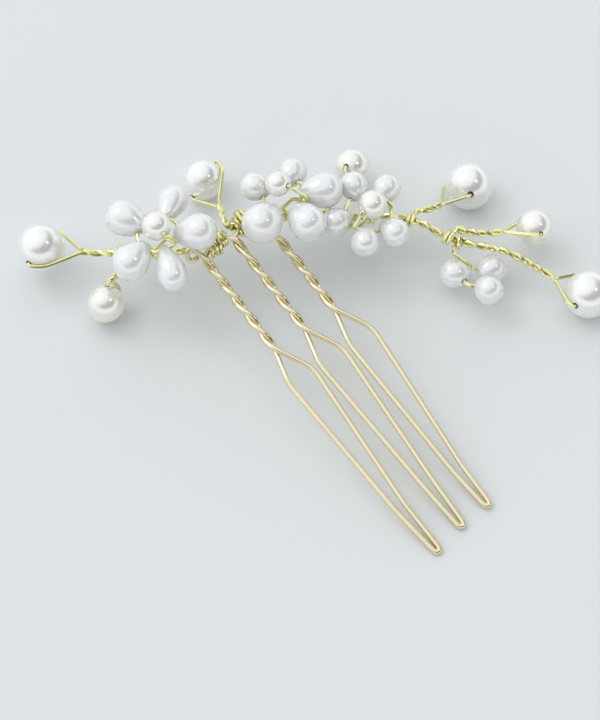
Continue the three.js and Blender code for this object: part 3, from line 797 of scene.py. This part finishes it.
def pearl_material(name, colour, blush):
    found = bpy.data.materials.get(name)
    if found:
        return found
    material, nodes, links, shader = new_tree(name)
    add_variation(nodes, links, shader, {
        "Colour": (*colour, 1), "Second colour": tinted(colour, blush),
        "Patch scale": 260.0, "Patch amount": 0.6,
        "Grain scale": 5200.0, "Grain bump": 0.04,
        "Roughness": 0.24, "Roughness spread": 0.05,
    })
    shader.inputs["Metallic"].default_value = 0.42
    shader.inputs["IOR"].default_value = 1.6
    shader.inputs["Subsurface Weight"].default_value = 0.3
    shader.inputs["Subsurface Radius"].default_value = (1.0, 0.9, 0.8)
    shader.inputs["Subsurface Scale"].default_value = 0.001
    shader.inputs["Coat Weight"].default_value = 1.0
    shader.inputs["Coat Roughness"].default_value = 0.12
    shader.inputs["Coat IOR"].default_value = 1.8
    shader.inputs["Sheen Weight"].default_value = 0.15
    shader.inputs["Sheen Roughness"].default_value = 0.3
    return material


def glass_material(name, colour):
    found = bpy.data.materials.get(name)
    if found:
        return found
    material, nodes, links, shader = new_tree(name)
    add_variation(nodes, links, shader, {
        "Colour": (*colour, 1), "Second colour": tinted(colour, (1.05, 1.02, 1.0)),
        "Patch scale": 220.0, "Patch amount": 0.7,
        "Grain scale": 1800.0, "Grain bump": 0.08,
        "Roughness": 0.18, "Roughness spread": 0.05,
    })
    shader.inputs["Metallic"].default_value = 0.2
    shader.inputs["IOR"].default_value = 1.55
    shader.inputs["Transmission Weight"].default_value = 0.12
    shader.inputs["Subsurface Weight"].default_value = 0.5
    shader.inputs["Subsurface Radius"].default_value = (1.0, 1.0, 1.0)
    shader.inputs["Subsurface Scale"].default_value = 0.0012
    shader.inputs["Coat Weight"].default_value = 1.0
    shader.inputs["Coat Roughness"].default_value = 0.1
    shader.inputs["Coat IOR"].default_value = 1.6
    return material


def material_for(slot):
    colours = bpy.context.scene.hair_pin_colours
    if slot == "comb_gold":
        return gold_material(
            "Champagne gold plating", colours.comb_gold, (0.9, 0.84, 0.7), 180.0, 0.04, 0.1)
    if slot == "craft_gold":
        return gold_material(
            "Bright craft wire", colours.craft_gold, (0.9, 0.9, 0.75), 420.0, 0.1, 0.17)
    if slot == "white_pearl":
        return pearl_material("White pearl coating", colours.white_pearl, (1.0, 0.985, 0.98))
    if slot == "cream_pearl":
        return pearl_material("Cream pearl coating", colours.cream_pearl, (1.0, 0.985, 0.96))
    return glass_material("Milky lustre glass", colours.drop_glass)


# ------------------------------------------------------------ modelling

def sizes_in_layout():
    """The wire sizes in layout millimetres."""
    sizes = bpy.context.scene.hair_pin_sizes
    return sizes.comb_wire / MM, sizes.craft_wire / MM, sizes.leg_standoff / MM


def pearl_mesh(radius, hole):
    """A drilled ball at the origin with its hole along Z."""
    bpy.ops.object.select_all(action="DESELECT")
    bpy.ops.mesh.primitive_uv_sphere_add(segments=56, ring_count=44, radius=radius)
    obj = bpy.context.object
    mouth = math.sqrt(radius ** 2 - (hole / 2) ** 2)
    bpy.ops.object.mode_set(mode="EDIT")
    bpy.ops.mesh.select_all(action="DESELECT")
    bpy.ops.mesh.select_mode(type="VERT")
    bpy.ops.object.mode_set(mode="OBJECT")
    for vertex in obj.data.vertices:
        vertex.select = abs(vertex.co.z) > mouth
    bpy.ops.object.mode_set(mode="EDIT")
    bpy.ops.mesh.delete(type="VERT")
    bpy.ops.mesh.select_mode(type="EDGE")
    bpy.ops.mesh.select_all(action="SELECT")
    bpy.ops.mesh.region_to_loop()
    bpy.ops.mesh.bridge_edge_loops()
    bpy.ops.mesh.select_all(action="SELECT")
    bpy.ops.mesh.normals_make_consistent(inside=False)
    bpy.ops.object.mode_set(mode="OBJECT")
    bpy.ops.object.shade_smooth_by_angle(angle=math.radians(50))
    return obj


def drop_mesh(drop, hole):
    """A drop bead with its fat end towards +X and its cross hole along Y."""
    count = 36
    outline = []
    for i in range(count + 1):
        share = (1 - math.cos(math.pi * i / count)) / 2
        radius = 0.0 if i in (0, count) else drop_radius(drop, share)
        outline.append(((share * drop["length"] - DROP_HOLE_INSET) * MM, 0.0, radius * MM))
    mesh = bpy.data.meshes.new("drop")
    mesh.from_pydata(outline, [(i, i + 1) for i in range(count)], [])
    obj = bpy.data.objects.new("drop", mesh)
    bpy.context.collection.objects.link(obj)
    activate(obj)
    bpy.ops.object.mode_set(mode="EDIT")
    bpy.ops.mesh.select_all(action="SELECT")
    bpy.ops.mesh.spin(steps=48, angle=2 * math.pi, center=(0, 0, 0), axis=(1, 0, 0))
    bpy.ops.mesh.select_all(action="SELECT")
    bpy.ops.mesh.remove_doubles(threshold=0.000002)
    bpy.ops.mesh.normals_make_consistent(inside=False)
    bpy.ops.object.mode_set(mode="OBJECT")
    bpy.ops.object.select_all(action="DESELECT")
    bpy.ops.mesh.primitive_cylinder_add(
        vertices=24, radius=hole / 2, depth=drop["width"] * MM, rotation=(math.pi / 2, 0, 0))
    drill = bpy.context.object
    activate(obj)
    cut = obj.modifiers.new("Hole", "BOOLEAN")
    cut.operation = "DIFFERENCE"
    cut.solver = "EXACT"
    cut.object = drill
    bpy.ops.object.modifier_apply(modifier="Hole")
    bpy.data.objects.remove(drill)
    bpy.ops.object.shade_smooth_by_angle(angle=math.radians(35))
    return obj


def placed_copy(master, matrix):
    """A copy of a finished shape, its place put into its own mesh."""
    copy = bpy.data.objects.new(master.name, master.data.copy())
    bpy.context.collection.objects.link(copy)
    copy.matrix_world = matrix
    apply_place(copy)
    return copy


class HAIRPIN_OT_comb(bpy.types.Operator):
    """Bends the comb from one wire: eyes, twisted shanks and hairpin loops"""
    bl_idname = "hairpin.comb"
    bl_label = "Comb wire"
    bl_options = {"REGISTER", "UNDO"}

    def execute(self, context):
        wire, _, _ = sizes_in_layout()
        obj = wire_object("comb", comb_route(wire), wire * MM, 20)
        finish_piece(obj, "comb", material_for("comb_gold"), "comb_gold", ROOT, "comb_wire")
        return {"FINISHED"}


class HAIRPIN_OT_binding(bpy.types.Operator):
    """Winds the two coils that hold the stems under the comb's spine"""
    bl_idname = "hairpin.binding"
    bl_label = "Binding coils"
    bl_options = {"REGISTER", "UNDO"}

    def execute(self, context):
        _, wire, _ = sizes_in_layout()
        for node, side in (("binding_left", -1), ("binding_right", 1)):
            obj = wire_object(node, binding_route(side, wire), wire * MM)
            finish_piece(obj, f"{node}_coil", material_for("craft_gold"), "craft_gold", ROOT, node)
        return {"FINISHED"}


class HAIRPIN_OT_stems(bpy.types.Operator):
    """Twists the seven stems, each one wire through its pearl"""
    bl_idname = "hairpin.stems"
    bl_label = "Twisted stems"
    bl_options = {"REGISTER", "UNDO"}

    def execute(self, context):
        _, wire, standoff = sizes_in_layout()
        for name, stem in {**MAIN_STEMS, **BRANCHES}.items():
            points = stem_route(name, stem, wire, standoff)
            obj = wire_object(name, points, wire * MM)
            finish_piece(
                obj, f"twisted_stem_{name}", material_for("craft_gold"), "craft_gold", ROOT,
                f"stem_{name}")
        return {"FINISHED"}


class HAIRPIN_OT_pearls(bpy.types.Operator):
    """Makes the drilled pearls on the stems and in the flowers"""
    bl_idname = "hairpin.pearls"
    bl_label = "Pearls"
    bl_options = {"REGISTER", "UNDO"}

    def execute(self, context):
        hole = context.scene.hair_pin_sizes.pearl_hole
        wanted = [
            (f"pearl_{name}", stem["radius"], stem["slot"])
            for name, stem in {**MAIN_STEMS, **BRANCHES}.items()
        ]
        wanted += [
            (f"{name}_pearl", flower["radius"], "cream_pearl")
            for name, flower in FLOWERS.items() if flower["radius"]
        ]
        masters = {}
        for node, radius, slot in wanted:
            if radius not in masters:
                masters[radius] = pearl_mesh(radius * MM, hole)
            centre, bore = bead_place(node)
            turn = Z.rotation_difference(bore).to_matrix().to_4x4()
            place = Matrix.Translation((centre + LAYOUT_STEP) * MM) @ turn
            obj = placed_copy(masters[radius], place)
            finish_piece(obj, f"{node}_bead", material_for(slot), slot, node, node)
        for master in masters.values():
            bpy.data.objects.remove(master)
        return {"FINISHED"}


class HAIRPIN_OT_petals(bpy.types.Operator):
    """Makes the glass drop beads of the flowers and the bud"""
    bl_idname = "hairpin.petals"
    bl_label = "Petals"
    bl_options = {"REGISTER", "UNDO"}

    def execute(self, context):
        masters = {kind: drop_mesh(drop, DROP_HOLE * MM) for kind, drop in DROPS.items()}
        for name, flower in FLOWERS.items():
            for i, kind in enumerate(flower["drops"]):
                node = f"{name}_petal_{i + 1}"
                obj = placed_copy(masters[kind], petal_place(name, flower, i))
                finish_piece(
                    obj, f"{node}_drop", material_for("glass_drop"), "glass_drop", node, node)
        for master in masters.values():
            bpy.data.objects.remove(master)
        return {"FINISHED"}


class HAIRPIN_OT_flower_wires(bpy.types.Operator):
    """Threads the petals and centre pearls on their wires"""
    bl_idname = "hairpin.flower_wires"
    bl_label = "Flower wires"
    bl_options = {"REGISTER", "UNDO"}

    def execute(self, context):
        _, wire, standoff = sizes_in_layout()
        for name, flower in FLOWERS.items():
            obj = wire_object(name, flower_route(name, flower, wire, standoff), wire * MM)
            finish_piece(
                obj, f"{name}_thread", material_for("craft_gold"), "craft_gold", ROOT,
                f"{name}_wire")
        return {"FINISHED"}


# ---------------------------------------------------------------- stage

CAMERA_ELEVATION = math.radians(62)
CAMERA_DISTANCE = 400.0


def add_area_light(name, direction, distance, size, power, colour, target):
    light = bpy.data.lights.new(name, "AREA")
    light.shape = "DISK"
    light.size = size
    light.energy = power
    light.color = colour
    obj = bpy.data.objects.new(name, light)
    bpy.context.collection.objects.link(obj)
    obj.location = target + direction.normalized() * distance
    obj.rotation_euler = direction.to_track_quat("Z", "Y").to_euler()
    return obj


def floor_material(colour):
    material, nodes, links, shader = new_tree("Matt pale table")
    add_variation(nodes, links, shader, {
        "Colour": (*colour, 1), "Second colour": tinted(colour, (0.985, 0.99, 0.99)),
        "Patch scale": 9.0, "Patch amount": 0.8,
        "Grain scale": 900.0, "Grain bump": 0.03,
        "Roughness": 0.6, "Roughness spread": 0.05,
    })
    shader.inputs["Specular IOR Level"].default_value = 0.25
    return material


class HAIRPIN_OT_stage(bpy.types.Operator):
    """Sets the table, the soft lights and the camera"""
    bl_idname = "hairpin.stage"
    bl_label = "Table, lights and camera"
    bl_options = {"REGISTER", "UNDO"}

    def execute(self, context):
        stage = context.scene.hair_pin_stage
        target = LAYOUT_STEP * MM
        target.z = 0
        bpy.ops.object.select_all(action="DESELECT")
        bpy.ops.mesh.primitive_plane_add(size=3.0, location=(0, 0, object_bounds()[0][2]))
        floor = context.object
        floor.name = "table"
        floor.data.materials.append(floor_material(stage.floor_colour))
        floor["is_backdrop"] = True
        add_area_light(
            "key", vec(-0.53, 0.30, 0.79), 1.0, 0.45, stage.key_power, (1.0, 0.985, 0.965), target)
        add_area_light(
            "fill", vec(0.53, -0.05, 0.85), 1.0, 0.16, stage.fill_power, (1.0, 0.99, 0.98), target)
        world = bpy.data.worlds.new("Studio")
        world.use_nodes = True
        context.scene.world = world
        nodes, links = world.node_tree.nodes, world.node_tree.links
        place = nodes.new("ShaderNodeTexCoord")
        facing = nodes.new("ShaderNodeVectorMath")
        facing.operation = "DOT_PRODUCT"
        facing.inputs[1].default_value = unit(-0.45, 0.35, 0.82)
        ramp = nodes.new("ShaderNodeMapRange")
        ramp.inputs["From Min"].default_value = math.cos(math.radians(68))
        ramp.inputs["From Max"].default_value = math.cos(math.radians(42))
        ramp.interpolation_type = "SMOOTHSTEP"
        split = nodes.new("ShaderNodeSeparateXYZ")
        low = nodes.new("ShaderNodeMapRange")
        low.inputs["From Min"].default_value = 0.36
        low.inputs["From Max"].default_value = 0.56
        low.inputs["To Min"].default_value = 1.0
        low.inputs["To Max"].default_value = 0.0
        low.interpolation_type = "SMOOTHSTEP"
        either = nodes.new("ShaderNodeMath")
        either.operation = "MAXIMUM"
        tone = nodes.new("ShaderNodeMix")
        tone.data_type = "RGBA"
        tone.inputs["A"].default_value = (0.20, 0.18, 0.145, 1)
        tone.inputs["B"].default_value = (1.09, 1.125, 1.16, 1)
        links.new(place.outputs["Generated"], facing.inputs[0])
        links.new(facing.outputs["Value"], ramp.inputs["Value"])
        links.new(place.outputs["Generated"], split.inputs[0])
        links.new(split.outputs["Z"], low.inputs["Value"])
        links.new(ramp.outputs["Result"], either.inputs[0])
        links.new(low.outputs["Result"], either.inputs[1])
        links.new(either.outputs[0], tone.inputs["Factor"])
        links.new(tone.outputs["Result"], nodes["Background"].inputs["Color"])
        nodes["Background"].inputs["Strength"].default_value = stage.sky
        context.scene.view_settings.view_transform = "Standard"
        camera_data = bpy.data.cameras.new("camera")
        camera_data.sensor_width = 36
        camera_data.lens = 122
        camera_data.clip_start = 0.01
        camera = bpy.data.objects.new("camera", camera_data)
        context.collection.objects.link(camera)
        away = vec(0, -math.cos(CAMERA_ELEVATION), math.sin(CAMERA_ELEVATION))
        camera.location = target + away * CAMERA_DISTANCE * MM
        camera.rotation_euler = away.to_track_quat("Z", "Y").to_euler()
        context.scene.camera = camera
        return {"FINISHED"}


# --------------------------------------------------------------- add-on

OPERATORS = (
    HAIRPIN_OT_comb,
    HAIRPIN_OT_binding,
    HAIRPIN_OT_stems,
    HAIRPIN_OT_pearls,
    HAIRPIN_OT_petals,
    HAIRPIN_OT_flower_wires,
    HAIRPIN_OT_stage,
)


class HAIRPIN_PT_panel(bpy.types.Panel):
    """Lists the steps that make the hair pin"""
    bl_idname = "HAIRPIN_PT_panel"
    bl_label = "Hair pin"
    bl_space_type = "VIEW_3D"
    bl_region_type = "UI"
    bl_category = "Hair pin"

    def draw(self, context):
        column = self.layout.column()
        for operator in OPERATORS:
            column.operator(operator.bl_idname)
        for group in (
            context.scene.hair_pin_sizes,
            context.scene.hair_pin_colours,
            context.scene.hair_pin_stage,
        ):
            for name in group.__annotations__:
                column.prop(group, name)


CLASSES = (HairPinSizes, HairPinColours, HairPinStage, *OPERATORS, HAIRPIN_PT_panel)


def register():
    for cls in CLASSES:
        bpy.utils.register_class(cls)
    bpy.types.Scene.hair_pin_sizes = PointerProperty(type=HairPinSizes)
    bpy.types.Scene.hair_pin_colours = PointerProperty(type=HairPinColours)
    bpy.types.Scene.hair_pin_stage = PointerProperty(type=HairPinStage)


def unregister():
    del bpy.types.Scene.hair_pin_stage
    del bpy.types.Scene.hair_pin_colours
    del bpy.types.Scene.hair_pin_sizes
    for cls in reversed(CLASSES):
        bpy.utils.unregister_class(cls)


def main():
    register()
    bpy.ops.hairpin.comb()
    bpy.ops.hairpin.binding()
    bpy.ops.hairpin.stems()
    bpy.ops.hairpin.pearls()
    bpy.ops.hairpin.petals()
    bpy.ops.hairpin.flower_wires()
    bpy.ops.hairpin.stage()


if __name__ == "__main__":
    main()
